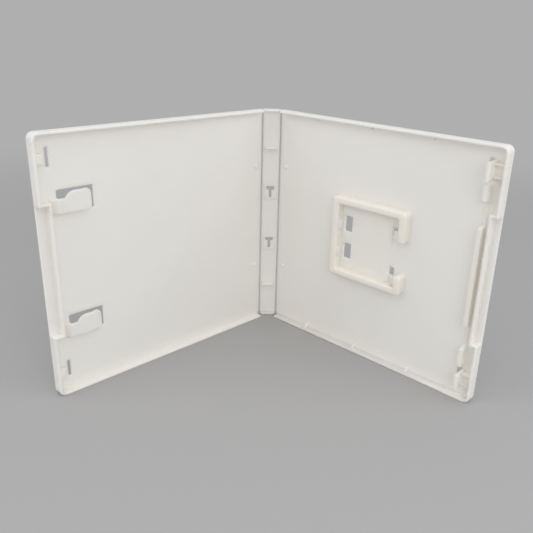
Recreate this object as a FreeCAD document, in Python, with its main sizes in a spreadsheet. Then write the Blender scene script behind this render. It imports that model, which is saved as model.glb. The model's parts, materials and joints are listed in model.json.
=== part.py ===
import FreeCAD, Part
import Sketcher
import math
import os
from types import SimpleNamespace

# A hinged case for one game cartridge: a front cover with two booklet clips, a spine with two
# living hinges and a back cover with the cartridge tray. It stands upright, open at the fold angle.
#
# Inside a cover, s runs from the hinge axis to the fore-edge, n from the outer face inward and
# z up from the bottom edge. On the spine, s runs across it from one hinge axis to the other.

# Driving dimensions in millimetres and degrees: name, value, meaning
SIZES = [
    ("case_height", 124.5, "height of the spine and both covers"),
    ("cover_width", 133.0, "hinge axis to fore-edge"),
    ("spine_width", 11.0, "hinge axis to hinge axis"),
    ("fold_angle", 44.1, "turn of each cover from flat towards closed"),
    ("plate_thickness", 1.2, "plate of the covers and the spine"),
    ("rim_thickness", 1.3, "wall round the covers"),
    ("closing_gap", 0.2, "gap between the two rims of the closed case"),
    ("corner_radius", 3.0, "outer corners at the fore-edge"),
    ("edge_round", 0.5, "rounding round the outer faces"),
    ("soft_bevel", 0.3, "bevel of the free edges inside the case"),
    ("root_round", 0.5, "hollow where the rim meets the plate"),
    ("rim_end_gap", 0.4, "gap between rim end and spine end wall of the closed case"),
    ("weld_depth", 0.3, "depth that a raised form reaches into its wall"),
    ("cut_margin", 0.5, "length that a cut reaches past its wall"),
    ("web_thickness", 0.4, "living hinge"),
    ("web_width", 1.1, "living hinge between spine and cover"),
    ("web_foot_gap", 1.3, "open lower end of the hinge line"),
    ("web_head_gap", 0.3, "open upper end of the hinge line"),
    ("hinge_chamfer", 0.65, "bevel of the plates along the hinge"),
    ("flange_thickness", 1.3, "end wall of the spine"),
    ("flange_height", 2.9, "outer face to free edge of the end wall"),
    ("flange_width", 8.2, "width of the end wall"),
    ("flange_round", 1.6, "corners of the end wall"),
    ("tab_width", 6.6, "cross rib of the spine"),
    ("tab_thickness", 0.9, "cross rib of the spine"),
    ("tab_height", 4.8, "outer face to free edge of the cross rib"),
    ("tab_offset", 41.2, "mid-height to each cross rib"),
    ("lock_pad_width", 6.6, "raised pad round a lock slot"),
    ("lock_pad_length", 8.7, "raised pad round a lock slot"),
    ("lock_pad_height", 1.9, "outer face to top of the pad"),
    ("lock_upper_level", 77.9, "middle of the upper pad"),
    ("lock_lower_level", 47.1, "middle of the lower pad"),
    ("lock_slot_width", 4.7, "crossbar of the slot"),
    ("lock_slot_length", 7.0, "slot from crossbar to foot"),
    ("lock_bar_width", 2.6, "crossbar of the slot"),
    ("lock_bar_round", 1.1, "lower corners of the crossbar"),
    ("lock_stem_width", 1.5, "stem of the slot"),
    ("grip_length", 61.6, "finger recess at the fore-edge"),
    ("front_grip_depth", 4.4, "recess of the front rim"),
    ("back_grip_depth", 3.0, "recess of the back rim"),
    ("pip_distance", 5.0, "hinge axis to a stop pip"),
    ("pip_radius", 1.3, "stop pip"),
    ("pip_bevel", 0.6, "bevel round the top of a stop pip"),
    ("pip_height", 2.1, "outer face to top of the pip"),
    ("pip_upper_level", 93.4, "upper stop pip"),
    ("pip_lower_level", 34.2, "lower stop pip"),
    ("clip_upper_level", 93.2, "middle of the upper clip window"),
    ("clip_lower_level", 33.1, "middle of the lower clip window"),
    ("clip_inset", 10.0, "fore-edge to the clip windows"),
    ("clip_window_length", 17.9, "clip window along s"),
    ("clip_window_height", 10.8, "clip window along z"),
    ("clip_window_round", 0.8, "corners of a clip window"),
    ("clip_clearance", 0.6, "gap between clip and window above and below"),
    ("clip_tip_gap", 2.2, "gap between clip tip and window"),
    ("clip_heel", 3.5, "length of the heel behind the window"),
    ("clip_heel_flat", 0.7, "level part of the heel"),
    ("clip_top", 4.4, "outer face to top of the clip"),
    ("clip_thickness", 1.2, "clip tongue"),
    ("clip_tip_top", 3.0, "outer face to top of the clip tip"),
    ("clip_slope_length", 5.2, "sloping part of the tongue"),
    ("clip_neck_height", 6.8, "clip at its root along z"),
    ("clip_head_length", 12.8, "wide part of the tongue with its shoulder"),
    ("clip_head_round", 3.0, "upper corner of the tip"),
    ("clip_shoulder_lean", 0.6, "run of the shoulder over its rise"),
    ("clip_shoulder_share", 1.8, "radius of the upper bend of the shoulder over its rise"),
    ("clip_neck_share", 0.15, "radius of the lower bend of the shoulder over its rise"),
    ("clip_bend_round", 8.0, "bend between the level and the sloping part of the tongue"),
    ("clip_heel_round", 2.0, "bend above the heel"),
    ("clip_tip_round", 1.0, "lower corner of the tip"),
    ("latch_offset", 51.0, "mid-height to each latch"),
    ("latch_slot_gap", 1.75, "gap between latch slot and catch nose"),
    ("latch_slot_width", 1.8, "latch slot along s"),
    ("latch_slot_length", 8.7, "latch slot along z"),
    ("catch_length", 4.4, "latch catch along z"),
    ("catch_height", 4.2, "outer face to top of the catch"),
    ("catch_nose", 1.2, "thickness of the catch nose"),
    ("catch_reach", 0.8, "catch nose past its block"),
    ("catch_inset", 4.2, "fore-edge to the block of the catch"),
    ("latch_gap", 0.2, "gap between latch post and front cover"),
    ("post_length", 8.6, "latch post along z"),
    ("post_thickness", 1.2, "latch post along s"),
    ("post_nose", 1.4, "nose of the latch post along n"),
    ("post_nose_reach", 0.5, "nose of the latch post along s"),
    ("post_rib_thickness", 1.0, "ribs between latch post and rim"),
    ("post_rib_inset", 1.0, "end of the latch post to a rib"),
    ("post_rib_height", 4.8, "outer face to top of the ribs"),
    ("post_floor_height", 3.8, "outer face to the floor between the ribs"),
    ("post_hole_gap", 0.3, "gap between latch post and its opening"),
    ("post_hole_width", 3.2, "opening beside the post along s"),
    ("post_hole_length", 9.5, "opening beside the post along z"),
    ("post_hole_round", 1.4, "corners of the opening"),
    ("guide_inset", 6.6, "fore-edge to the outer side of the guide rib"),
    ("guide_thickness", 2.2, "guide rib"),
    ("guide_length", 88.8, "guide rib along z"),
    ("guide_dip_length", 9.8, "dip of the guide rib at each clip"),
    ("guide_dip_height", 1.8, "outer face to the bottom of a dip"),
    ("guide_dip_slope", 1.2, "sloping end of a dip along z"),
    ("gusset_first", 26.6, "hinge axis to the first gusset"),
    ("gusset_pitch", 34.7, "gusset to gusset"),
    ("gusset_thickness", 1.2, "gusset along s"),
    ("gusset_foot", 2.2, "gusset along the plate"),
    ("gusset_height", 4.0, "outer face to top of the gusset"),
    ("tray_wall", 4.0, "ridge round the cartridge"),
    ("tray_height", 6.2, "outer face to top of the ridge"),
    ("tray_round", 1.2, "rounding along the top of the ridge"),
    ("tray_start", 47.6, "hinge axis to the inner face of the ridge"),
    ("tray_length", 36.8, "inside of the ridge along s"),
    ("tray_bottom", 46.2, "lower inner face of the ridge"),
    ("tray_inner_height", 35.6, "inside of the ridge along z"),
    ("tray_corner", 2.0, "outer corners of the ridge"),
    ("tray_inner_corner", 0.6, "inner corners of the ridge"),
    ("tray_end_round", 1.6, "corners where the ridge ends"),
    ("tray_lower_return", 6.6, "lower end of the ridge from its inner face"),
    ("tray_upper_return", 12.1, "upper end of the ridge from its inner face"),
    ("tray_floor_height", 1.6, "outer face to the cartridge floor"),
    ("tray_floor_length", 31.6, "cartridge floor along s"),
    ("hook_window_gap", 1.4, "ridge to the window below a hook"),
    ("hook_window_length", 5.2, "window below a hook along s"),
    ("hook_window_height", 8.7, "window below a hook along z"),
    ("hook_upper_rise", 24.7, "tray inner face to the middle of the upper hook"),
    ("hook_lower_rise", 9.7, "tray inner face to the middle of the lower hook"),
    ("hook_length", 4.6, "hook along z"),
    ("hook_reach", 1.9, "hook past the ridge"),
    ("hook_top", 5.4, "outer face to top of the hook"),
    ("hook_nose_top", 4.8, "outer face to top of the hook nose"),
    ("hook_underside", 4.1, "outer face to underside of the hook"),
    ("return_window_gap", 2.6, "ridge to the window beside the hook of a ridge end"),
    ("return_window_length", 3.2, "window beside the hook of a ridge end along s"),
    ("return_window_height", 4.6, "window beside the hook of a ridge end along z"),
    ("return_upper_gap", 1.5, "ridge end to the upper window"),
    ("return_lower_reach", 2.0, "lower window past the ridge end"),
    ("return_hook_length", 4.2, "hook of a ridge end along z"),
    ("return_hook_reach", 2.4, "hook of a ridge end past the ridge"),
    ("window_round", 0.5, "corners of the small windows"),
]

TOLERANCE = 0.001
GUSSETS_PER_RIM = 3


class Dim:
    """A number that keeps the sheet expression that it comes from."""

    def __init__(self, value, text):
        self.value = value
        self.text = text

    def __add__(self, other):
        other = as_dim(other)
        return Dim(self.value + other.value, f"({self.text} + {other.text})")

    def __sub__(self, other):
        other = as_dim(other)
        return Dim(self.value - other.value, f"({self.text} - {other.text})")

    def __rsub__(self, other):
        return as_dim(other) - self

    def __mul__(self, other):
        other = as_dim(other)
        return Dim(self.value * other.value, f"({self.text} * {other.text})")

    def __truediv__(self, other):
        other = as_dim(other)
        return Dim(self.value / other.value, f"({self.text} / {other.text})")

    def __neg__(self):
        return Dim(-self.value, f"(0 - {self.text})")


def as_dim(number):
    """Turn a plain number into a Dim, and leave a Dim as it is."""
    if isinstance(number, Dim):
        return number
    return Dim(float(number), str(number))


def sine(angle):
    return Dim(math.sin(math.radians(angle.value)), f"sin({angle.text} * 1 deg)")


def cosine(angle):
    return Dim(math.cos(math.radians(angle.value)), f"cos({angle.text} * 1 deg)")


def tangent(angle):
    return sine(angle) / cosine(angle)


def bind(item, path, dim):
    """Tie a property of a document object to the sheet."""
    item.setExpression(path, as_dim(dim).text)


def make_sheet(doc):
    """Fill the sheet, and return its cells and the sizes worked out from them."""
    sheet = doc.addObject("Spreadsheet::Sheet", "Sizes")
    for row, (name, value, meaning) in enumerate(SIZES, start=1):
        sheet.set(f"A{row}", meaning)
        sheet.set(f"B{row}", str(value))
        sheet.setAlias(f"B{row}", name)
    doc.recompute()
    size = SimpleNamespace()
    for name, _, _ in SIZES:
        setattr(size, name, Dim(float(getattr(sheet, name)), f"Sizes.{name}"))
    size.middle = size.case_height / 2
    size.web_middle = size.web_thickness / 2
    size.web_half = size.web_width / 2
    size.closed_thickness = size.spine_width + size.web_thickness
    size.rim_height = (size.closed_thickness - size.closing_gap) / 2
    size.bend_radius = size.web_half / tangent(size.fold_angle / 2)
    cover_depth = (size.cover_width - size.soft_bevel) * sine(size.fold_angle)
    rim_depth = (size.rim_height - size.web_middle) * cosine(size.fold_angle)
    size.spine_back = (size.web_middle + cover_depth + rim_depth) / 2
    size.hinge_line = size.spine_back - size.web_middle
    size.rim_start = size.flange_height + size.rim_end_gap - size.web_middle
    size.clip_root = size.cover_width - size.clip_inset
    size.catch_start = size.cover_width - size.catch_inset
    size.catch_tip = size.catch_start - size.catch_reach
    size.post_face = size.catch_tip - size.latch_gap - size.post_nose_reach
    size.post_start = size.post_face - size.post_thickness
    size.tray_top = size.tray_bottom + size.tray_inner_height
    size.tray_end = size.tray_start + size.tray_length
    size.tray_lower_end = size.tray_bottom + size.tray_lower_return
    size.tray_upper_end = size.tray_top - size.tray_upper_return
    return size


def step(start, direction, distance):
    """Move a coordinate by a distance, up or down as the direction says."""
    if direction > 0:
        return as_dim(start) + distance
    return as_dim(start) - distance


def toward(corner, neighbour, distance):
    """Point at a distance from a corner along its level or upright side."""
    x, y = corner[:2]
    run = as_dim(neighbour[0]).value - as_dim(x).value
    rise = as_dim(neighbour[1]).value - as_dim(y).value
    if abs(run) > abs(rise):
        return (step(x, run, distance), as_dim(y))
    return (as_dim(x), step(y, rise, distance))


def ring_points(corners):
    """List the points of a ring, and the radius of each point where an arc starts."""
    points = []
    radii = {}
    for index, corner in enumerate(corners):
        if len(corner) == 2:
            points.append((as_dim(corner[0]), as_dim(corner[1])))
            continue
        radii[len(points)] = as_dim(corner[2])
        points.append(toward(corner, corners[index - 1], corner[2]))
        points.append(toward(corner, corners[(index + 1) % len(corners)], corner[2]))
    return points, radii


def flat(point):
    return FreeCAD.Vector(point[0].value, point[1].value, 0)


def draw_ring(sketch, corners):
    """Draw a closed ring through corners (x, y). A corner (x, y, radius) joins a level and an
    upright side and is rounded."""
    points, radii = ring_points(corners)
    first = sketch.GeometryCount
    ends = []
    for index, point in enumerate(points):
        start = flat(point)
        end = flat(points[(index + 1) % len(points)])
        if index in radii:
            shape, turn = rounded_corner(points, index, radii[index].value)
            ends.append((1, 2) if turn > 0 else (2, 1))
        else:
            shape = Part.LineSegment(start, end)
            ends.append((1, 2))
        sketch.addGeometry(shape, False)
    constrain_ring(sketch, first, points, radii, ends)


def rounded_corner(points, index, radius):
    """Arc of a rounded corner, and the sign of its turn."""
    start = flat(points[index])
    end = flat(points[(index + 1) % len(points)])
    before = start - flat(points[index - 1])
    chord = end - start
    turn = before.x * chord.y - before.y * chord.x
    inward = FreeCAD.Vector(-before.y, before.x, 0).normalize() * math.copysign(radius, turn)
    centre = start + inward
    angles = [math.atan2(end_point.y - centre.y, end_point.x - centre.x) for end_point in (start, end)]
    if turn < 0:
        angles.reverse()
    circle = Part.Circle(centre, FreeCAD.Vector(0, 0, 1), radius)
    return Part.ArcOfCircle(circle, angles[0], angles[1]), turn


def constrain_ring(sketch, first, points, radii, ends):
    """Join the sides of a ring, and tie its points and radii to the sheet."""
    rules = []
    bound = []
    count = len(points)
    for index, point in enumerate(points):
        side = first + index
        following = (index + 1) % count
        rules.append(Sketcher.Constraint("Coincident", side, ends[index][1],
                                         first + following, ends[following][0]))
        for kind, axis, dim in (("DistanceX", -2, point[0]), ("DistanceY", -1, point[1])):
            if dim.text == "0":
                rules.append(Sketcher.Constraint("PointOnObject", side, ends[index][0], axis))
                continue
            bound.append((len(rules), dim))
            rules.append(Sketcher.Constraint(kind, -1, 1, side, ends[index][0], dim.value))
        if index in radii:
            bound.append((len(rules), radii[index]))
            rules.append(Sketcher.Constraint("Radius", side, radii[index].value))
    start = sketch.ConstraintCount
    sketch.addConstraint(rules)
    for offset, dim in bound:
        bind(sketch, f"Constraints[{start + offset}]", dim)


def box_ring(left, bottom, right, top, radius=None):
    """Corners of a rectangle, all rounded where a radius is given."""
    corners = [(left, bottom), (right, bottom), (right, top), (left, top)]
    if radius is None:
        return corners
    return [corner + (radius,) for corner in corners]


class Panel:
    """A moulded panel whose inner side faces +Y (inward 1) or -Y (inward -1)."""

    def __init__(self, doc, label, inward):
        self.doc = doc
        self.body = doc.addObject("PartDesign::Body", label)
        self.body.Label = label
        self.inward = inward
        self.turned = {}

    def new_sketch(self, name, role, turned, offset):
        """Sketch on an origin plane. A turned sketch has its normal against the way it is padded."""
        plane = next(item for item in self.body.Origin.OriginFeatures if item.Role == role)
        sketch = self.body.newObject("Sketcher::SketchObject", name)
        sketch.AttachmentSupport = (plane, [""])
        sketch.MapMode = "FlatFace"
        sketch.AttachmentOffset = offset
        self.turned[sketch.Name] = turned
        return sketch

    def face_sketch(self, name, height, *rings):
        """Sketch of (s, z) at a height n above the outer face."""
        sketch = self.new_sketch(name, "XZ_Plane", self.inward > 0, FreeCAD.Placement())
        bind(sketch, "AttachmentOffset.Base.z", as_dim(height) * -self.inward)
        return self.draw(sketch, rings)

    def section_sketch(self, name, level, *rings):
        """Sketch of (s, n) at a level z, with n pointing inward."""
        flip = FreeCAD.Rotation(FreeCAD.Vector(1, 0, 0), 180 if self.inward < 0 else 0)
        offset = FreeCAD.Placement(FreeCAD.Vector(), flip)
        sketch = self.new_sketch(name, "XY_Plane", self.inward < 0, offset)
        bind(sketch, "AttachmentOffset.Base.z", level)
        return self.draw(sketch, rings)

    def side_sketch(self, name, distance, *rings):
        """Sketch of (n, z) at a distance s, with n pointing inward."""
        flip = FreeCAD.Rotation(FreeCAD.Vector(0, 1, 0), 180 if self.inward < 0 else 0)
        offset = FreeCAD.Placement(FreeCAD.Vector(), flip)
        sketch = self.new_sketch(name, "YZ_Plane", self.inward < 0, offset)
        bind(sketch, "AttachmentOffset.Base.z", distance)
        return self.draw(sketch, rings)

    def draw(self, sketch, rings):
        for ring in rings:
            draw_ring(sketch, ring)
        return sketch

    def pad(self, name, sketch, length):
        """Raise a sketch towards +n, +z or +s."""
        feature = self.body.newObject("PartDesign::Pad", name)
        feature.Profile = sketch
        feature.Reversed = self.turned[sketch.Name]
        bind(feature, "Length", length)
        return feature

    def pocket(self, name, sketch, length):
        """Cut a sketch towards +n, +z or +s, and make sure that it takes material away."""
        self.doc.recompute()
        before = self.body.Shape.Volume
        feature = self.body.newObject("PartDesign::Pocket", name)
        feature.Profile = sketch
        feature.Reversed = not self.turned[sketch.Name]
        bind(feature, "Length", length)
        self.doc.recompute()
        if self.body.Shape.Volume > before - TOLERANCE:
            raise RuntimeError(f"{self.body.Label}: {name} cuts nothing")
        return feature

    def dress(self, kind, name, prop, amount, chosen):
        """Fillet or chamfer the edges that the test picks by their bounds in s, n and z."""
        self.doc.recompute()
        base = self.body.Tip
        edges = [f"Edge{number}" for number, edge in enumerate(base.Shape.Edges, start=1)
                 if chosen(self.bounds(edge))]
        if not edges:
            raise RuntimeError(f"{self.body.Label}: {name} finds no edge")
        feature = self.body.newObject(f"PartDesign::{kind}", name)
        feature.Base = (base, edges)
        bind(feature, prop, amount)
        return feature

    def bounds(self, edge):
        box = edge.BoundBox
        heights = sorted((self.inward * box.YMin, self.inward * box.YMax))
        return SimpleNamespace(s=(box.XMin, box.XMax), n=tuple(heights), z=(box.ZMin, box.ZMax))

    def place(self, x, y, angle):
        """Stand the panel in the case, turned about Z."""
        self.body.Placement = FreeCAD.Placement(
            FreeCAD.Vector(as_dim(x).value, as_dim(y).value, 0),
            FreeCAD.Rotation(FreeCAD.Vector(0, 0, 1), as_dim(angle).value))
        bind(self.body, "Placement.Base.x", x)
        bind(self.body, "Placement.Base.y", y)
        bind(self.body, "Placement.Rotation.Angle", as_dim(angle) * Dim(1, "1 deg"))


def at(span, dim):
    """Whether both ends of a span lie at one size."""
    return all(abs(end - dim.value) < TOLERANCE for end in span)


def past(end, dim):
    """Whether a coordinate lies beyond a size."""
    return end > dim.value + TOLERANCE


def rim_ring(size, grip_depth):
    """Wall along the top, the fore-edge and the bottom, stepped in at the finger recess."""
    edge = size.cover_width
    top = size.case_height
    wall = size.rim_thickness
    low = size.middle - size.grip_length / 2
    high = size.middle + size.grip_length / 2
    inner = size.corner_radius - wall
    return [
        (size.rim_start, 0),
        (edge, 0, size.corner_radius),
        (edge, low),
        (edge - grip_depth, low),
        (edge - grip_depth, high),
        (edge, high),
        (edge, top, size.corner_radius),
        (size.rim_start, top),
        (size.rim_start, top - wall),
        (edge - wall, top - wall, inner),
        (edge - wall, high + wall),
        (edge - grip_depth - wall, high + wall),
        (edge - grip_depth - wall, low - wall),
        (edge - wall, low - wall),
        (edge - wall, wall, inner),
        (size.rim_start, wall),
    ]


def add_cover_shell(panel, size, grip_depth):
    """Plate with rounded fore-edge corners, its rim, the hinge bevel and the stop pips."""
    plate = [
        (size.web_half, 0),
        (size.cover_width, 0, size.corner_radius),
        (size.cover_width, size.case_height, size.corner_radius),
        (size.web_half, size.case_height),
    ]
    panel.pad("Plate", panel.face_sketch("PlateOutline", 0, plate), size.plate_thickness)
    panel.pad("Rim", panel.face_sketch("RimOutline", 0, rim_ring(size, grip_depth)), size.rim_height)
    panel.dress("Fillet", "RimRoot", "Radius", size.root_round,
                lambda box: at(box.n, size.plate_thickness) and past(box.s[1], size.rim_start))
    panel.dress("Chamfer", "RimBevel", "Size", size.soft_bevel, lambda box: at(box.n, size.rim_height))
    panel.dress("Chamfer", "HingeBevel", "Size", size.hinge_chamfer,
                lambda box: at(box.s, size.web_half) and at(box.n, size.plate_thickness))
    panel.dress("Fillet", "OuterRound", "Radius", size.edge_round,
                lambda box: at(box.n, as_dim(0)) and not at(box.s, size.web_half))
    pips = panel.face_sketch("PipCircles", size.plate_thickness - size.weld_depth)
    for level in (size.pip_lower_level, size.pip_upper_level):
        draw_circle(pips, size.pip_distance, level, size.pip_radius)
    panel.pad("Pips", pips, size.pip_height - size.plate_thickness + size.weld_depth)
    panel.dress("Chamfer", "PipBevel", "Size", size.pip_bevel, lambda box: at(box.n, size.pip_height))


def draw_circle(sketch, x, y, radius):
    """Draw a circle tied to the sheet."""
    centre = FreeCAD.Vector(x.value, y.value, 0)
    circle = sketch.addGeometry(Part.Circle(centre, FreeCAD.Vector(0, 0, 1), radius.value), False)
    start = sketch.ConstraintCount
    sketch.addConstraint([
        Sketcher.Constraint("DistanceX", -1, 1, circle, 3, x.value),
        Sketcher.Constraint("DistanceY", -1, 1, circle, 3, y.value),
        Sketcher.Constraint("Radius", circle, radius.value),
    ])
    for offset, dim in enumerate((x, y, radius)):
        bind(sketch, f"Constraints[{start + offset}]", dim)


def latch_levels(size):
    return (("Lower", size.middle - size.latch_offset), ("Upper", size.middle + size.latch_offset))


def add_booklet_clip(panel, size, name, level):
    """Window in the plate with a tongue over it, which holds the edge of a booklet down."""
    low = level - size.clip_window_height / 2
    high = level + size.clip_window_height / 2
    near = size.clip_root - size.clip_window_length
    window = box_ring(near, low, size.clip_root, high, size.clip_window_round)
    margin = size.cut_margin
    sketch = panel.face_sketch(f"{name}ClipWindow", -margin, window)
    panel.pocket(f"{name}ClipCut", sketch, size.plate_thickness + margin * 2)

    tip = near + size.clip_tip_gap
    heel = size.clip_root + size.clip_heel
    foot = low + size.clip_clearance
    head = high - size.clip_clearance
    neck = foot + size.clip_neck_height
    shoulder = tip + size.clip_head_length
    rise = head - neck
    crest = shoulder - rise * size.clip_shoulder_lean
    tongue = [
        (tip, foot, size.clip_tip_round),
        (heel, foot),
        (heel, neck),
        (shoulder, neck),
        (crest, head),
        (tip, head, size.clip_head_round),
    ]
    base = size.plate_thickness - size.weld_depth
    sketch = panel.face_sketch(f"{name}ClipOutline", base, tongue)
    panel.pad(f"{name}ClipBlock", sketch, size.clip_top - base)
    panel.dress("Fillet", f"{name}ClipNeck", "Radius", rise * size.clip_neck_share,
                lambda box: at(box.s, shoulder) and at(box.z, neck))
    panel.dress("Fillet", f"{name}ClipShoulder", "Radius", rise * size.clip_shoulder_share,
                lambda box: at(box.s, crest) and at(box.z, head))

    bend = tip + size.clip_slope_length
    above = size.clip_top + margin
    underside = [
        (near, -margin),
        (size.clip_root, -margin),
        (size.clip_root, size.clip_top - size.clip_thickness),
        (bend, size.clip_top - size.clip_thickness),
        (tip, size.clip_tip_top - size.clip_thickness),
        (near, size.clip_tip_top - size.clip_thickness),
    ]
    slope = [
        (bend, size.clip_top),
        (tip, size.clip_tip_top),
        (near, size.clip_tip_top),
        (near, above),
        (bend, above),
    ]
    heel_slope = [
        (size.clip_root + size.clip_heel_flat, size.clip_top),
        (size.clip_root + size.clip_heel_flat, above),
        (heel + margin, above),
        (heel + margin, size.plate_thickness),
        (heel, size.plate_thickness),
    ]
    sketch = panel.section_sketch(f"{name}ClipSection", foot, underside, slope, heel_slope)
    panel.pocket(f"{name}ClipShape", sketch, head - foot)
    for crease, distance, radius in (("Bend", bend, size.clip_bend_round),
                                     ("Heel", size.clip_root + size.clip_heel_flat, size.clip_heel_round)):
        panel.dress("Fillet", f"{name}Clip{crease}", "Radius", radius,
                    lambda box: at(box.s, distance) and at(box.n, size.clip_top))


def add_front_latch(panel, size, name, level):
    """Slot in the plate and a nosed catch beside the rim."""
    margin = size.cut_margin
    far = size.catch_tip - size.latch_slot_gap
    half = size.latch_slot_length / 2
    slot = box_ring(far - size.latch_slot_width, level - half, far, level + half, size.window_round)
    sketch = panel.face_sketch(f"{name}LatchSlot", -margin, slot)
    panel.pocket(f"{name}LatchCut", sketch, size.plate_thickness + margin * 2)

    base = size.plate_thickness - size.weld_depth
    wall = size.cover_width - size.rim_thickness + size.weld_depth
    catch = [
        (size.catch_start, base),
        (wall, base),
        (wall, size.catch_height),
        (size.catch_start, size.catch_height),
        (size.catch_tip, size.catch_height - size.catch_nose / 2),
        (size.catch_tip, size.catch_height - size.catch_nose),
        (size.catch_start, size.catch_height - size.catch_nose),
    ]
    sketch = panel.section_sketch(f"{name}CatchSection", level - size.catch_length / 2, catch)
    panel.pad(f"{name}Catch", sketch, size.catch_length)


def make_front_cover(doc, size):
    """Cover that carries the booklet clips."""
    panel = Panel(doc, "front_cover", 1)
    add_cover_shell(panel, size, size.front_grip_depth)
    add_booklet_clip(panel, size, "Lower", size.clip_lower_level)
    add_booklet_clip(panel, size, "Upper", size.clip_upper_level)
    panel.dress("Chamfer", "ClipBevel", "Size", size.soft_bevel,
                lambda box: at(box.n, size.clip_top) and box.s[1] > box.s[0] + TOLERANCE)
    for name, level in latch_levels(size):
        add_front_latch(panel, size, name, level)
    shift = size.web_middle * sine(size.fold_angle)
    rise = size.web_middle * cosine(size.fold_angle)
    panel.place(-(size.spine_width / 2) - shift, size.hinge_line + rise, size.fold_angle + 180)
    return panel.body


def add_guide_rib(panel, size):
    """Rib inside the fore-edge rim, dipped where the booklet clips of the front cover lie."""
    base = size.plate_thickness - size.weld_depth
    ring = [(base, size.middle - size.guide_length / 2)]
    ring.append((size.rim_height, size.middle - size.guide_length / 2))
    for level in (size.clip_lower_level, size.clip_upper_level):
        low = level - size.guide_dip_length / 2
        high = level + size.guide_dip_length / 2
        ring.append((size.rim_height, low - size.guide_dip_slope))
        ring.append((size.guide_dip_height, low))
        ring.append((size.guide_dip_height, high))
        ring.append((size.rim_height, high + size.guide_dip_slope))
    ring.append((size.rim_height, size.middle + size.guide_length / 2))
    ring.append((base, size.middle + size.guide_length / 2))
    start = size.cover_width - size.guide_inset - size.guide_thickness
    sketch = panel.side_sketch("GuideProfile", start, ring)
    panel.pad("GuideRib", sketch, size.guide_thickness)
    sides = (start, start + size.guide_thickness)
    panel.dress("Chamfer", "GuideBevel", "Size", size.soft_bevel,
                lambda box: any(at(box.s, side) for side in sides) and past(box.n[0], size.plate_thickness))


def add_back_latch(panel, size, name, level):
    """Opening in the plate, and a tall nosed post tied to the rim by two ribs and a floor."""
    margin = size.cut_margin
    half = size.post_hole_length / 2
    far = size.post_start - size.post_hole_gap
    hole = box_ring(far - size.post_hole_width, level - half, far, level + half, size.post_hole_round)
    sketch = panel.face_sketch(f"{name}PostHole", -margin, hole)
    panel.pocket(f"{name}PostCut", sketch, size.plate_thickness + margin * 2)

    base = size.plate_thickness - size.weld_depth
    top = size.closed_thickness - size.plate_thickness - size.latch_gap
    face = size.post_face
    tip = face + size.post_nose_reach
    bottom = level - size.post_length / 2
    post = [
        (size.post_start, base),
        (face, base),
        (face, top - size.post_nose),
        (tip, top - size.post_nose),
        (tip, top - size.post_nose / 2),
        (face, top),
        (size.post_start, top),
    ]
    sketch = panel.section_sketch(f"{name}PostSection", bottom, post)
    panel.pad(f"{name}Post", sketch, size.post_length)

    wall = size.cover_width - size.rim_thickness + size.weld_depth
    root = face - size.weld_depth
    lower_rib = bottom + size.post_rib_inset
    upper_rib = bottom + size.post_length - size.post_rib_inset - size.post_rib_thickness
    ribs = [box_ring(root, start, wall, start + size.post_rib_thickness) for start in (lower_rib, upper_rib)]
    sketch = panel.face_sketch(f"{name}PostRibOutline", base, *ribs)
    panel.pad(f"{name}PostRibs", sketch, size.post_rib_height - base)
    floor = box_ring(root, lower_rib, wall, upper_rib + size.post_rib_thickness)
    sketch = panel.face_sketch(f"{name}PostFloorOutline", base, floor)
    panel.pad(f"{name}PostFloor", sketch, size.post_floor_height - base)


def add_gussets(panel, size):
    """Small triangles between the plate and the top and bottom rims."""
    base = size.plate_thickness - size.weld_depth
    wall = size.rim_thickness
    top = size.case_height - wall
    lower = [
        (base, wall - size.weld_depth),
        (size.gusset_height, wall - size.weld_depth),
        (size.gusset_height, wall),
        (base, wall + size.gusset_foot),
    ]
    upper = [
        (base, top - size.gusset_foot),
        (size.gusset_height, top),
        (size.gusset_height, top + size.weld_depth),
        (base, top + size.weld_depth),
    ]
    start = size.gusset_first - size.gusset_thickness / 2
    gussets = panel.pad("Gussets", panel.side_sketch("GussetProfile", start, lower, upper),
                        size.gusset_thickness)
    axis = next(item for item in panel.body.Origin.OriginFeatures if item.Role == "X_Axis")
    row = panel.body.newObject("PartDesign::LinearPattern", "GussetRow")
    row.Originals = [gussets]
    row.Direction = (axis, [""])
    row.Occurrences = GUSSETS_PER_RIM
    bind(row, "Length", size.gusset_pitch * (GUSSETS_PER_RIM - 1))
    panel.body.Tip = row


def add_tray(panel, size):
    """Rounded ridge round three sides of the cartridge, turned in at the fourth, with a floor."""
    wall = size.tray_wall
    near = size.tray_start
    far = size.tray_end
    low = size.tray_bottom
    high = size.tray_top
    lower_end = size.tray_lower_end
    upper_end = size.tray_upper_end
    ridge = [
        (near - wall, low - wall, size.tray_corner),
        (far + wall, low - wall, size.tray_corner),
        (far + wall, lower_end, size.tray_end_round),
        (far, lower_end, size.tray_end_round),
        (far, low, size.tray_inner_corner),
        (near, low, size.tray_inner_corner),
        (near, high, size.tray_inner_corner),
        (far, high, size.tray_inner_corner),
        (far, upper_end, size.tray_end_round),
        (far + wall, upper_end, size.tray_end_round),
        (far + wall, high + wall, size.tray_corner),
        (near - wall, high + wall, size.tray_corner),
    ]
    base = size.plate_thickness - size.weld_depth
    floor = box_ring(near, low, near + size.tray_floor_length, high)
    panel.pad("TrayFloor", panel.face_sketch("TrayFloorOutline", base, floor),
              size.tray_floor_height - base)
    panel.pad("TrayRidge", panel.face_sketch("TrayOutline", base, ridge), size.tray_height - base)
    panel.dress("Fillet", "TrayRound", "Radius", size.tray_round, lambda box: at(box.n, size.tray_height))


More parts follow.
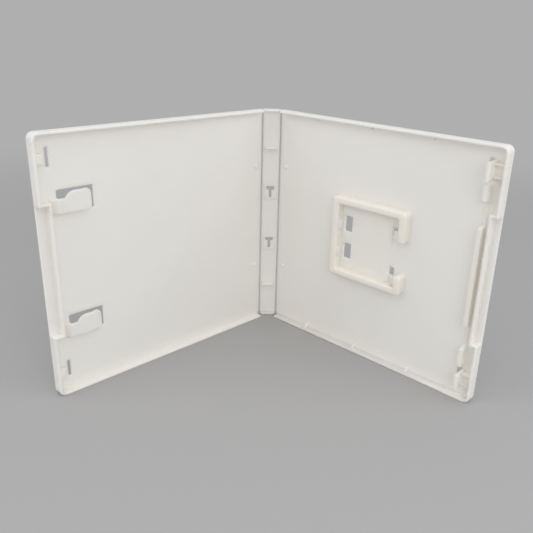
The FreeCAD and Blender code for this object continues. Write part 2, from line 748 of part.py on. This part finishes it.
def add_tray_windows(panel, size):
    """Windows below the hooks of the ridge, and beside those of its ends."""
    margin = size.cut_margin
    near = size.tray_start + size.hook_window_gap
    far = size.tray_end - size.return_window_gap
    rings = []
    for rise in (size.hook_lower_rise, size.hook_upper_rise):
        foot = size.tray_bottom + rise - size.hook_window_height / 2
        rings.append(box_ring(near, foot, near + size.hook_window_length, foot + size.hook_window_height,
                              size.window_round))
    lower = size.tray_lower_end + size.return_lower_reach - size.return_window_height
    upper = size.tray_upper_end + size.return_upper_gap
    for foot in (lower, upper):
        rings.append(box_ring(far - size.return_window_length, foot, far, foot + size.return_window_height,
                              size.window_round))
    sketch = panel.face_sketch("TrayWindows", -margin, *rings)
    panel.pocket("TrayCut", sketch, size.tray_floor_height + margin * 2)


def add_tray_hooks(panel, size):
    """Nosed hooks on the ridge, which snap over the edges of the cartridge."""
    near = size.tray_start
    far = size.tray_end
    sink = size.tray_wall / 2
    hook = [
        (near - sink, size.hook_underside),
        (near + size.hook_reach, size.hook_underside),
        (near + size.hook_reach, size.hook_nose_top),
        (near, size.hook_top),
        (near - sink, size.hook_top),
    ]
    facing = [
        (far + sink, size.hook_underside),
        (far + sink, size.hook_top),
        (far, size.hook_top),
        (far - size.return_hook_reach, size.hook_nose_top),
        (far - size.return_hook_reach, size.hook_underside),
    ]
    for name, rise in (("Lower", size.hook_lower_rise), ("Upper", size.hook_upper_rise)):
        start = size.tray_bottom + rise - size.hook_length / 2
        panel.pad(f"{name}Hook", panel.section_sketch(f"{name}HookSection", start, hook), size.hook_length)
    lower = size.tray_lower_end - size.tray_end_round - size.return_hook_length
    upper = size.tray_upper_end + size.tray_end_round
    for name, start in (("Lower", lower), ("Upper", upper)):
        sketch = panel.section_sketch(f"{name}ReturnHookSection", start, facing)
        panel.pad(f"{name}ReturnHook", sketch, size.return_hook_length)


def make_back_cover(doc, size):
    """Cover that carries the cartridge tray and the latch posts."""
    panel = Panel(doc, "back_cover", -1)
    add_cover_shell(panel, size, size.back_grip_depth)
    add_gussets(panel, size)
    add_guide_rib(panel, size)
    for name, level in latch_levels(size):
        add_back_latch(panel, size, name, level)
    add_tray(panel, size)
    add_tray_windows(panel, size)
    add_tray_hooks(panel, size)
    shift = size.web_middle * sine(size.fold_angle)
    rise = size.web_middle * cosine(size.fold_angle)
    panel.place(size.spine_width / 2 + shift, size.hinge_line + rise, -size.fold_angle)
    return panel.body


def lock_slot_ring(size, level):
    """Outline of a slot made of a crossbar with rounded lower corners and a stem."""
    middle = size.spine_width / 2
    bar = size.lock_slot_width / 2
    stem = size.lock_stem_width / 2
    foot = level - size.lock_slot_length / 2
    head = level + size.lock_slot_length / 2
    neck = head - size.lock_bar_width
    return [
        (middle - stem, foot, size.window_round),
        (middle + stem, foot, size.window_round),
        (middle + stem, neck),
        (middle + bar, neck, size.lock_bar_round),
        (middle + bar, head, size.window_round),
        (middle - bar, head, size.window_round),
        (middle - bar, neck, size.lock_bar_round),
        (middle - stem, neck),
    ]


def add_lock_slots(panel, size):
    """Two raised pads, each with a slot through it."""
    base = size.plate_thickness - size.weld_depth
    margin = size.cut_margin
    half = size.lock_pad_length / 2
    left = (size.spine_width - size.lock_pad_width) / 2
    right = left + size.lock_pad_width
    levels = (size.lock_lower_level, size.lock_upper_level)
    pads = [box_ring(left, level - half, right, level + half, size.window_round) for level in levels]
    slots = [lock_slot_ring(size, level) for level in levels]
    panel.pad("LockPads", panel.face_sketch("LockPadOutlines", base, *pads), size.lock_pad_height - base)
    panel.dress("Chamfer", "LockPadBevel", "Size", size.soft_bevel,
                lambda box: at(box.n, size.lock_pad_height))
    panel.pocket("LockCuts", panel.face_sketch("LockSlots", -margin, *slots),
                 size.lock_pad_height + margin * 2)


def make_spine(doc, size):
    """Spine plate with bevelled long edges, end walls, cross ribs and lock slots."""
    panel = Panel(doc, "spine", -1)
    far = size.spine_width - size.web_half
    bevel = size.hinge_chamfer
    thick = size.plate_thickness
    plate = [
        (size.web_half, 0),
        (far, 0),
        (far, thick - bevel),
        (far - bevel, thick),
        (size.web_half + bevel, thick),
        (size.web_half, thick - bevel),
    ]
    panel.pad("Plate", panel.section_sketch("PlateSection", 0, plate), size.case_height)

    base = thick - size.weld_depth
    middle = size.spine_width / 2
    left = middle - size.flange_width / 2
    right = middle + size.flange_width / 2
    flange = [
        (left, base),
        (right, base),
        (right, size.flange_height, size.flange_round),
        (left, size.flange_height, size.flange_round),
    ]
    for name, level in (("Lower", as_dim(0)), ("Upper", size.case_height - size.flange_thickness)):
        sketch = panel.section_sketch(f"{name}FlangeSection", level, flange)
        panel.pad(f"{name}Flange", sketch, size.flange_thickness)
    inner = (size.flange_thickness, size.case_height - size.flange_thickness)
    panel.dress("Chamfer", "FlangeBevel", "Size", size.soft_bevel,
                lambda box: any(at(box.z, level) for level in inner) and past(box.n[1], thick))

    left = middle - size.tab_width / 2
    right = middle + size.tab_width / 2
    tabs = []
    for level in (size.middle - size.tab_offset, size.middle + size.tab_offset):
        half = size.tab_thickness / 2
        tabs.append(box_ring(left, level - half, right, level + half))
    panel.pad("Tabs", panel.face_sketch("TabOutlines", base, *tabs), size.tab_height - base)
    panel.dress("Chamfer", "TabBevel", "Size", size.soft_bevel, lambda box: at(box.n, size.tab_height))
    add_lock_slots(panel, size)
    panel.place(-(size.spine_width / 2), size.spine_back, 0)
    return panel.body


def make_hinge_web(doc, size, label, side):
    """Thin strip bent round the fold, from the edge of the spine to the edge of a cover."""
    length = size.case_height - size.web_foot_gap - size.web_head_gap
    tubes = []
    for name, radius in (("Outer", size.bend_radius + size.web_middle),
                         ("Inner", size.bend_radius - size.web_middle)):
        tube = doc.addObject("Part::Cylinder", f"{label}_{name}")
        bind(tube, "Radius", radius)
        bind(tube, "Height", length)
        bind(tube, "Angle", size.fold_angle)
        tubes.append(tube)
    web = doc.addObject("Part::Cut", label)
    web.Label = label
    web.Base, web.Tool = tubes
    turn = as_dim(90) if side < 0 else 90 - size.fold_angle
    web.Placement = FreeCAD.Placement(FreeCAD.Vector(),
                                      FreeCAD.Rotation(FreeCAD.Vector(0, 0, 1), turn.value))
    bind(web, "Placement.Base.x", (size.spine_width / 2 - size.web_half) * side)
    bind(web, "Placement.Base.y", size.hinge_line - size.bend_radius)
    bind(web, "Placement.Base.z", size.web_foot_gap)
    bind(web, "Placement.Rotation.Angle", turn * Dim(1, "1 deg"))
    return web


def check_document(doc, nodes):
    """Stop where an object has failed or a sub-part is not one valid solid."""
    for item in doc.Objects:
        if "Invalid" in item.State or "Error" in item.State:
            raise RuntimeError(f"{item.Name} has failed: {item.State}")
    for node in nodes:
        shape = node.Shape
        if shape.isNull() or not shape.isValid() or len(shape.Solids) != 1:
            raise RuntimeError(f"{node.Label} is not one valid solid")


def main():
    doc = FreeCAD.newDocument("CartridgeCase")
    size = make_sheet(doc)
    nodes = [
        make_spine(doc, size),
        make_front_cover(doc, size),
        make_back_cover(doc, size),
        make_hinge_web(doc, size, "front_hinge_web", -1),
        make_hinge_web(doc, size, "back_hinge_web", 1),
    ]
    doc.recompute()
    check_document(doc, nodes)
    os.makedirs("parts", exist_ok=True)
    for node in nodes:
        node.Shape.exportStep(f"parts/{node.Label}.step")
        print(node.Label, round(node.Shape.Volume, 1), node.Shape.BoundBox)


main()
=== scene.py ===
import json
import math

import bpy
import numpy as np
from bpy.props import FloatProperty, FloatVectorProperty, IntProperty, PointerProperty
from bpy.types import Operator, Panel, PropertyGroup
from mathutils import Matrix, Vector


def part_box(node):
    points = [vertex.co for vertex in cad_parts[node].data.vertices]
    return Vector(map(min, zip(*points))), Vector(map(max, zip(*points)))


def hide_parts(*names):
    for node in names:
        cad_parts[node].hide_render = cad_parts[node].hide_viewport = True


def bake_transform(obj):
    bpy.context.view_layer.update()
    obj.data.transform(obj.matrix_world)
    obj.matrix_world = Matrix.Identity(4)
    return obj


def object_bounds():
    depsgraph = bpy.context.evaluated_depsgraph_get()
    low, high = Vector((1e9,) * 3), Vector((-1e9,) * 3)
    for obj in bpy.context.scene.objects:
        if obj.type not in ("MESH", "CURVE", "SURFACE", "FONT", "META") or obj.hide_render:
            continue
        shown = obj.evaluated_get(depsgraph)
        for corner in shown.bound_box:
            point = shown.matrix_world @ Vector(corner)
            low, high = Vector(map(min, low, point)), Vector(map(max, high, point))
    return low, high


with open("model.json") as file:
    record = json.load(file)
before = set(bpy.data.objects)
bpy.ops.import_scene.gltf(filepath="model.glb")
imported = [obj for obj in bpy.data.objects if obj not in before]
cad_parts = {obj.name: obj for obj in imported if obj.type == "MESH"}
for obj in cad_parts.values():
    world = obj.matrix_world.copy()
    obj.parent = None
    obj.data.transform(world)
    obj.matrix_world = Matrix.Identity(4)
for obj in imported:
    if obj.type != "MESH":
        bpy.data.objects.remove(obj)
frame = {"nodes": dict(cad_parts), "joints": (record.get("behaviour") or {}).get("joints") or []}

bl_info = {
    "name": "Game Cartridge Case",
    "version": (1, 0, 0),
    "blender": (4, 5, 0),
    "location": "3D View > Sidebar > Case",
    "description": "Finishes an open white case for one game cartridge and stands it in a studio",
    "category": "Object",
}

CAD_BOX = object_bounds()
JOINTS = {joint["child"]: joint for joint in frame["joints"]}
# The corner of the spine at its outer face, from which the hinges bend
SPINE_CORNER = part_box("spine")[1]

# The photograph is square, so one side gives both its width and its height in pixels
PHOTO_SIDE = 533
# Focal length and middle of the picture in pixels of the photograph
PHOTO_FOCAL = 618.8
PHOTO_MIDDLE = 280.2
# Width of the camera's sensor in millimetres
SENSOR_WIDTH = 36.0

# White polypropylene: its refraction, and how far red, green and blue light travel inside it
PLASTIC_IOR = 1.49
GLOW_TINT = (1.0, 0.98, 0.95)
# Levels of the noise between which the colour drifts
DRIFT_LEVELS = (0.35, 0.65)
# Finer layers of noise: few for clouds and grain, more for the patches of gloss
CLOUD_DETAIL = 2.0
GLOSS_DETAIL = 4.0
# Edges sharper than this stay sharp in the smooth shading of a new piece
SHARP_ANGLE = math.radians(40)
# Faces along one side of the floor
FLOOR_CELLS = 8
WHITE = (1.0, 1.0, 1.0)
# Nearest distance that the camera sees, in metres
CAMERA_NEAR = 0.01


class CaseFinish(PropertyGroup):
    """Colours and surface of the moulded plastic."""

    plastic_colour: FloatVectorProperty(
        name="Plastic", description="Main colour of the white plastic",
        subtype="COLOR", size=3, min=0, max=1, default=(0.90, 0.862, 0.796))
    drift_colour: FloatVectorProperty(
        name="Drift", description="Colour that the plastic drifts to in broad, faint clouds",
        subtype="COLOR", size=3, min=0, max=1, default=(0.87, 0.836, 0.776))
    drift_size: FloatProperty(
        name="Drift Size", description="Width of one cloud of the colour drift",
        unit="LENGTH", min=0.001, default=0.045)
    gloss_size: FloatProperty(
        name="Gloss Size", description="Width of one patch of more or less gloss",
        unit="LENGTH", min=0.001, default=0.0075)
    gloss_low: FloatProperty(
        name="Lowest Roughness", description="Roughness of the glossiest spots",
        subtype="FACTOR", min=0, max=1, default=0.38)
    gloss_high: FloatProperty(
        name="Highest Roughness", description="Roughness of the dullest spots",
        subtype="FACTOR", min=0, max=1, default=0.52)
    grain_size: FloatProperty(
        name="Grain Size", description="Width of one grain of the matt mould texture",
        unit="LENGTH", min=0.00005, default=0.00035)
    grain_depth: FloatProperty(
        name="Grain Depth", description="Depth of the matt mould texture",
        unit="LENGTH", min=0, default=0.000004)
    glow_depth: FloatProperty(
        name="Glow Depth", description="How far light travels inside the plastic",
        unit="LENGTH", min=0, default=0.004)
    glow_share: FloatProperty(
        name="Glow Share", description="Share of the light that travels inside the plastic",
        subtype="FACTOR", min=0, max=1, default=1.0)


class HingeSizes(PropertyGroup):
    """Sizes and painted groove shade of the two living hinges."""

    thickness: FloatProperty(
        name="Thickness", description="Thickness of a hinge at its middle",
        unit="LENGTH", min=0.0001,
        default=2 * (SPINE_CORNER.y - JOINTS["front_cover"]["pos_m"][1]))
    root_thickness: FloatProperty(
        name="Root Thickness", description="Thickness of a hinge where it meets the plates",
        unit="LENGTH", min=0.0001, default=0.00052)
    steps: IntProperty(
        name="Steps", description="Faces across a hinge", min=4, max=64, default=20)
    rows: IntProperty(
        name="Rows", description="Faces along a hinge", min=1, max=64, default=8)
    # Painted shade: a darker colour that stands in for the shade in the hinge grooves
    groove_shade_colour: FloatVectorProperty(
        name="Worn", description="Colour of the plastic where it is creased",
        subtype="COLOR", size=3, min=0, max=1, default=(0.66, 0.655, 0.645))


class StudioSettings(PropertyGroup):
    """Floor, lamps and camera."""

    floor_colour: FloatVectorProperty(
        name="Floor", description="Colour of the floor and of the space behind it",
        subtype="COLOR", size=3, min=0, max=1, default=(0.43, 0.43, 0.435))
    floor_reach: FloatProperty(
        name="Floor Reach", description="Half the side of the square floor",
        unit="LENGTH", min=0.1, default=6.0)
    fade_start: FloatProperty(
        name="Fade Start", description="Distance at which the floor begins to fade into the backdrop",
        unit="LENGTH", min=0, default=0.2)
    fade_end: FloatProperty(
        name="Fade End", description="Distance at which the floor looks like the backdrop",
        unit="LENGTH", min=0, default=0.7)
    camera_place: FloatVectorProperty(
        name="Camera", description="Place of the camera",
        subtype="TRANSLATION", unit="LENGTH", size=3, default=(-0.001699, -0.300324, 0.169225))
    camera_tilt: FloatVectorProperty(
        name="Camera Tilt", description="Tilt, roll and turn of the camera from looking level along +Y",
        subtype="EULER", unit="ROTATION", size=3,
        default=(math.radians(-21.598), math.radians(-1.707), math.radians(-0.785)))
    top_place: FloatVectorProperty(
        name="Top Lamp", description="Place of the lamp above the open side",
        subtype="TRANSLATION", unit="LENGTH", size=3, default=(0.0, -0.45, 1.0))
    top_size: FloatProperty(
        name="Top Size", description="Side of the lamp above the open side",
        unit="LENGTH", min=0.01, default=1.0)
    top_power: FloatProperty(
        name="Top Power", description="Power of the lamp above the open side",
        unit="POWER", min=0, default=2.2)
    front_place: FloatVectorProperty(
        name="Front Lamp", description="Place of the lamp before the case",
        subtype="TRANSLATION", unit="LENGTH", size=3, default=(0.2, -0.7, 0.37))
    front_size: FloatProperty(
        name="Front Size", description="Side of the lamp before the case",
        unit="LENGTH", min=0.01, default=0.4)
    front_power: FloatProperty(
        name="Front Power", description="Power of the lamp before the case",
        unit="POWER", min=0, default=1.05)
    side_place: FloatVectorProperty(
        name="Side Lamps", description="Place of the lamp on the right, which has a twin on the left",
        subtype="TRANSLATION", unit="LENGTH", size=3, default=(0.55, -0.2, 0.38))
    side_size: FloatProperty(
        name="Side Size", description="Side of a lamp beside the case",
        unit="LENGTH", min=0.01, default=0.5)
    side_power: FloatProperty(
        name="Side Power", description="Power of a lamp beside the case",
        unit="POWER", min=0, default=0.7)
    sky_level: FloatProperty(
        name="Sky Level", description="Even light from all sides", min=0, default=0.63)


def add_node(tree, kind, **values):
    """Add a shader node. A value goes to the node's property or input of that name."""
    node = tree.nodes.new(kind)
    for name, value in values.items():
        if hasattr(node, name):
            setattr(node, name, value)
        else:
            node.inputs[name.replace("_", " ")].default_value = value
    return node


def opaque(colour):
    """Colour with a full alpha, as a colour socket takes it."""
    return (*colour, 1.0)


def noise(tree, place, width, detail):
    """Noise whose patches have about the given width, from 0 to 1."""
    texture = add_node(tree, "ShaderNodeTexNoise", Scale=1 / width, Detail=detail)
    tree.links.new(place, texture.inputs["Vector"])
    return texture.outputs["Fac"]


def moulded_plastic(name, finish, painted_shade_colour=None):
    """White plastic: broad faint clouds of colour, patches of gloss and a fine matt mould grain.
    A painted shade colour, where given, takes the place of the drift colour: painted shade of a hinge's
    groove."""
    material = bpy.data.materials.new(name)
    material.use_nodes = True
    tree = material.node_tree
    shader = tree.nodes["Principled BSDF"]
    place = add_node(tree, "ShaderNodeTexCoord").outputs["Object"]

    tones = add_node(tree, "ShaderNodeValToRGB")
    # On a hinge the darker end of this ramp is painted groove shade
    colours = (painted_shade_colour or finish.drift_colour, finish.plastic_colour)
    for stop, level, colour in zip(tones.color_ramp.elements, DRIFT_LEVELS, colours):
        stop.position = level
        stop.color = opaque(colour)
    tree.links.new(noise(tree, place, finish.drift_size, CLOUD_DETAIL), tones.inputs["Fac"])
    tree.links.new(tones.outputs["Color"], shader.inputs["Base Color"])

    gloss = add_node(tree, "ShaderNodeMapRange", To_Min=finish.gloss_low, To_Max=finish.gloss_high)
    tree.links.new(noise(tree, place, finish.gloss_size, GLOSS_DETAIL), gloss.inputs["Value"])
    tree.links.new(gloss.outputs["Result"], shader.inputs["Roughness"])

    bump = add_node(tree, "ShaderNodeBump", Distance=finish.grain_depth)
    tree.links.new(noise(tree, place, finish.grain_size, CLOUD_DETAIL), bump.inputs["Height"])
    tree.links.new(bump.outputs["Normal"], shader.inputs["Normal"])

    shader.inputs["IOR"].default_value = PLASTIC_IOR
    shader.inputs["Subsurface Weight"].default_value = finish.glow_share
    shader.inputs["Subsurface Radius"].default_value = GLOW_TINT
    shader.inputs["Subsurface Scale"].default_value = finish.glow_depth
    return material


def finish_node(node, material):
    """Give a CAD node its finish."""
    piece = frame["nodes"][node]
    piece.data.materials.clear()
    piece.data.materials.append(material)


def hinge_profile(hinge, joint):
    """Outer and inner line of a bent hinge, each from the spine to the cover.
    At share t of the bend, a point lies on a circle at the angle t * fold: the outer line at the bend
    radius plus half the thickness, the inner one nearer by the thickness, which grows from its value
    at the middle to that at the roots with the fourth power of the distance from the middle."""
    axis_x, axis_y = joint["pos_m"][:2]
    side = math.copysign(1, axis_x)
    fold = math.radians(-joint["range_deg"][0])
    half_width = abs(axis_x) - SPINE_CORNER.x
    radius = half_width / math.tan(fold / 2)
    outer_radius = SPINE_CORNER.y - axis_y + radius
    share = np.linspace(0, 1, hinge.steps + 1)
    growth = (hinge.root_thickness - hinge.thickness) * (2 * share - 1) ** 4
    inner_radius = outer_radius - hinge.thickness - growth
    lines = []
    for reach in (np.full_like(share, outer_radius), inner_radius):
        x = side * (SPINE_CORNER.x + reach * np.sin(fold * share))
        y = axis_y - radius + reach * np.cos(fold * share)
        lines.append(np.column_stack((x, y)))
    return lines, side


def carry_up(lines, levels, side):
    """Vertices and quads of the closed strip between two lines, carried up through the levels.
    Vertex k of a ring runs along the outer line and back along the inner one."""
    outer, inner = lines
    ring = np.vstack((outer, inner[::-1]))
    count = len(ring)
    points = np.column_stack((np.tile(ring, (len(levels), 1)), np.repeat(levels, count)))
    k = np.arange(count)
    rows = np.arange(len(levels) - 1)[:, None] * count
    following = (k + 1) % count
    walls = np.stack((rows + k, rows + k + count, rows + following + count, rows + following), axis=-1)
    near = np.arange(len(outer) - 1)
    far = count - 1 - near
    foot = np.column_stack((near, near + 1, far - 1, far))
    head = foot[:, ::-1] + (len(levels) - 1) * count
    quads = np.vstack((walls.reshape(-1, 4), foot, head))
    if side < 0:
        quads = quads[:, ::-1]
    return points, quads


def floor_grid(reach):
    """Vertices and quads of a level square: x and y each run from -reach to reach in even steps."""
    line = np.linspace(-reach, reach, FLOOR_CELLS + 1)
    x, y = np.meshgrid(line, line)
    points = np.column_stack((x.ravel(), y.ravel(), np.zeros(x.size)))
    cell = np.arange(FLOOR_CELLS)
    corner = (cell[:, None] * len(line) + cell).ravel()
    quads = np.column_stack((corner, corner + 1, corner + len(line) + 1, corner + len(line)))
    return points, quads


def new_piece(name, points, quads, material):
    """Mesh object at the origin from arrays of vertices and faces."""
    mesh = bpy.data.meshes.new(name)
    mesh.from_pydata(points.tolist(), [], quads.tolist())
    mesh.validate()
    mesh.shade_smooth()
    mesh.set_sharp_from_angle(angle=SHARP_ANGLE)
    mesh.materials.append(material)
    piece = bpy.data.objects.new(name, mesh)
    bpy.context.scene.collection.objects.link(piece)
    return piece


class CASE_OT_covers(Operator):
    """Finish the two covers"""

    bl_idname = "case.covers"
    bl_label = "Covers"

    def execute(self, context):
        for node in ("front_cover", "back_cover"):
            finish_node(node, moulded_plastic(f"{node}_plastic", context.scene.case_finish))
        return {"FINISHED"}


class CASE_OT_spine(Operator):
    """Finish the spine"""

    bl_idname = "case.spine"
    bl_label = "Spine"

    def execute(self, context):
        finish_node("spine", moulded_plastic("spine_plastic", context.scene.case_finish))
        return {"FINISHED"}


class CASE_OT_hinges(Operator):
    """Make the living hinges, which bend between the spine and the covers"""

    bl_idname = "case.hinges"
    bl_label = "Living Hinges"

    def execute(self, context):
        hinge = context.scene.case_hinge
        # The hinge plastic drifts to a darker colour: painted shade of the grooves
        material = moulded_plastic("hinge_plastic", context.scene.case_finish, hinge.groove_shade_colour)
        for cover, joint in JOINTS.items():
            node = joint["deforming_nodes"][0]["node"]
            low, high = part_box(node)
            lines, side = hinge_profile(hinge, joint)
            levels = np.linspace(low.z, high.z, hinge.rows + 1)
            points, quads = carry_up(lines, levels, side)
            piece = new_piece(f"{cover}_living_hinge", points, quads, material)
            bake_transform(piece)
            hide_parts(node)
        return {"FINISHED"}


def area_lamp(name, place, target, size, power):
    """Square soft lamp that faces a point and isn't seen itself."""
    lamp = bpy.data.lights.new(name, "AREA")
    lamp.shape = "SQUARE"
    lamp.size = size
    lamp.energy = power
    holder = bpy.data.objects.new(name, lamp)
    holder.location = place
    holder.rotation_euler = (target - place).to_track_quat("-Z", "Y").to_euler()
    holder.visible_camera = False
    bpy.context.scene.collection.objects.link(holder)


def seen_directly(tree):
    """1 where the camera, a reflection or glass sees a surface, 0 where it only gives light."""
    path = add_node(tree, "ShaderNodeLightPath")
    seen = path.outputs["Is Camera Ray"]
    for ray in ("Is Glossy Ray", "Is Transmission Ray"):
        either = add_node(tree, "ShaderNodeMath", operation="MAXIMUM")
        tree.links.new(seen, either.inputs[0])
        tree.links.new(path.outputs[ray], either.inputs[1])
        seen = either.outputs[0]
    return seen


def mix_shaders(tree, share, first, second, target):
    """Send one shader where the share is 0 and the other where it is 1."""
    mix = add_node(tree, "ShaderNodeMixShader")
    for socket, source in zip(mix.inputs, (share, first, second)):
        tree.links.new(source, socket)
    tree.links.new(mix.outputs[0], target)


def floor_material(studio):
    """Plain pale floor that takes the shadow, and far from the case looks like the backdrop."""
    material = bpy.data.materials.new("floor_paint")
    material.use_nodes = True
    tree = material.node_tree
    paint = add_node(tree, "ShaderNodeBsdfDiffuse", Color=opaque(studio.floor_colour))
    backdrop = add_node(tree, "ShaderNodeEmission", Color=opaque(studio.floor_colour))
    place = add_node(tree, "ShaderNodeTexCoord").outputs["Object"]
    distance = add_node(tree, "ShaderNodeVectorMath", operation="LENGTH")
    tree.links.new(place, distance.inputs[0])
    fade = add_node(tree, "ShaderNodeMapRange", interpolation_type="SMOOTHSTEP",
                    From_Min=studio.fade_start, From_Max=studio.fade_end)
    tree.links.new(distance.outputs["Value"], fade.inputs["Value"])
    share = add_node(tree, "ShaderNodeMath", operation="MULTIPLY")
    tree.links.new(fade.outputs["Result"], share.inputs[0])
    tree.links.new(seen_directly(tree), share.inputs[1])
    target = tree.nodes["Material Output"].inputs["Surface"]
    mix_shaders(tree, share.outputs[0], paint.outputs[0], backdrop.outputs[0], target)
    tree.nodes.remove(tree.nodes["Principled BSDF"])
    return material


def pale_sky(studio):
    """Even light, which looks like the floor where the camera, a reflection or glass sees it."""
    world = bpy.data.worlds.new("studio_sky")
    world.use_nodes = True
    tree = world.node_tree
    light = tree.nodes["Background"]
    light.inputs["Color"].default_value = opaque(WHITE)
    light.inputs["Strength"].default_value = studio.sky_level
    backdrop = add_node(tree, "ShaderNodeBackground", Color=opaque(studio.floor_colour))
    target = tree.nodes["World Output"].inputs["Surface"]
    mix_shaders(tree, seen_directly(tree), light.outputs[0], backdrop.outputs[0], target)
    return world


def photo_camera(studio):
    """Camera with the photograph's place, tilt and field of view."""
    data = bpy.data.cameras.new("photo_camera")
    data.sensor_fit = "HORIZONTAL"
    data.sensor_width = SENSOR_WIDTH
    data.lens = PHOTO_FOCAL / PHOTO_SIDE * SENSOR_WIDTH
    data.shift_x = (PHOTO_SIDE / 2 - PHOTO_MIDDLE) / PHOTO_SIDE
    data.clip_start = CAMERA_NEAR
    camera = bpy.data.objects.new("photo_camera", data)
    tilt, roll, turn = studio.camera_tilt
    lean = Matrix.Rotation(turn, 4, "Z") @ Matrix.Rotation(roll, 4, "Y") @ Matrix.Rotation(tilt, 4, "X")
    level_view = Matrix.Rotation(math.radians(90), 4, "X")
    camera.matrix_world = Matrix.Translation(studio.camera_place) @ lean @ level_view
    bpy.context.scene.collection.objects.link(camera)
    return camera


class CASE_OT_studio(Operator):
    """Make the floor, the lamps, the sky and the camera"""

    bl_idname = "case.studio"
    bl_label = "Studio"

    def execute(self, context):
        scene = context.scene
        studio = scene.case_studio
        points, quads = floor_grid(studio.floor_reach)
        new_piece("floor", points, quads, floor_material(studio))
        middle = (Vector(CAD_BOX[0]) + Vector(CAD_BOX[1])) / 2
        left_place = Vector(studio.side_place) * Vector((-1, 1, 1))
        lamps = (
            ("top_lamp", studio.top_place, studio.top_size, studio.top_power),
            ("front_lamp", studio.front_place, studio.front_size, studio.front_power),
            ("right_lamp", studio.side_place, studio.side_size, studio.side_power),
            ("left_lamp", left_place, studio.side_size, studio.side_power),
        )
        for name, place, size, power in lamps:
            area_lamp(name, Vector(place), middle, size, power)
        scene.world = pale_sky(studio)
        scene.camera = photo_camera(studio)
        scene.view_settings.view_transform = "Standard"
        return {"FINISHED"}


class CASE_PT_panel(Panel):
    """Buttons and settings of the case"""

    bl_idname = "CASE_PT_panel"
    bl_label = "Cartridge Case"
    bl_space_type = "VIEW_3D"
    bl_region_type = "UI"
    bl_category = "Case"

    def draw(self, context):
        layout = self.layout
        for operator in OPERATORS:
            layout.operator(operator.bl_idname)
        for settings in (context.scene.case_finish, context.scene.case_hinge, context.scene.case_studio):
            box = layout.box()
            for name in type(settings).__annotations__:
                box.prop(settings, name)


OPERATORS = (CASE_OT_covers, CASE_OT_spine, CASE_OT_hinges, CASE_OT_studio)
CLASSES = (CaseFinish, HingeSizes, StudioSettings, *OPERATORS, CASE_PT_panel)


def register():
    for kind in CLASSES:
        bpy.utils.register_class(kind)
    bpy.types.Scene.case_finish = PointerProperty(type=CaseFinish)
    bpy.types.Scene.case_hinge = PointerProperty(type=HingeSizes)
    bpy.types.Scene.case_studio = PointerProperty(type=StudioSettings)


def unregister():
    del bpy.types.Scene.case_studio
    del bpy.types.Scene.case_hinge
    del bpy.types.Scene.case_finish
    for kind in reversed(CLASSES):
        bpy.utils.unregister_class(kind)


def main():
    register()
    bpy.ops.case.covers()
    bpy.ops.case.spine()
    bpy.ops.case.hinges()
    bpy.ops.case.studio()


if __name__ == "__main__":
    main()
